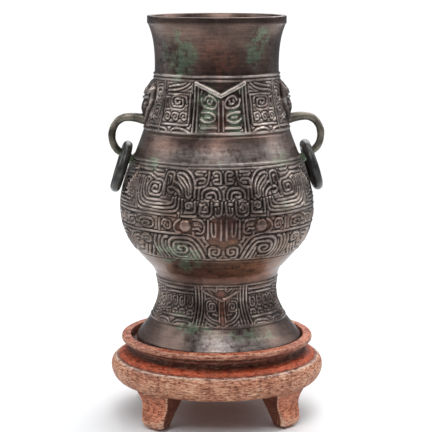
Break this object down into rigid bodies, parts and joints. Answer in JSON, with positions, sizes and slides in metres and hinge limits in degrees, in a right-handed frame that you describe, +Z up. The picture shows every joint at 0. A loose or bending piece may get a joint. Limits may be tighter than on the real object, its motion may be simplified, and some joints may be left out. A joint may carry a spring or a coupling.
{
  "type": "bronze hu vase on a wooden stand",
  "caption": "Pear-shaped cast bronze hu vase with taotie ornament bands, loop handles and drop rings, resting in the recess of a turned wooden stand with carved legs.",
  "frame": {"origin": "on the floor under the middle of the stand", "axes": "+Z up along the vase's axis, -Y is the front of the vase, the two handles point along -X and +X"},
  "size_m": [0.1254, 0.1248, 0.2335],
  "materials": {
    "patinated_bronze": "cast bronze, dark brown patina with green and reddish areas, ornament worn lighter on its ridges",
    "dark_bronze": "cast bronze worn smooth, near-black brown",
    "lacquered_wood": "turned hardwood, reddish lacquer worn to tan wood, dark specks and a dark groove"
  },
  "bodies": {
    "root": {"vase_body": "patinated_bronze", "loop_handle_left": "patinated_bronze", "loop_handle_right": "patinated_bronze", "drop_ring_left": "dark_bronze", "drop_ring_right": "dark_bronze", "wooden_stand": "lacquered_wood"}
  },
  "joints": []
}
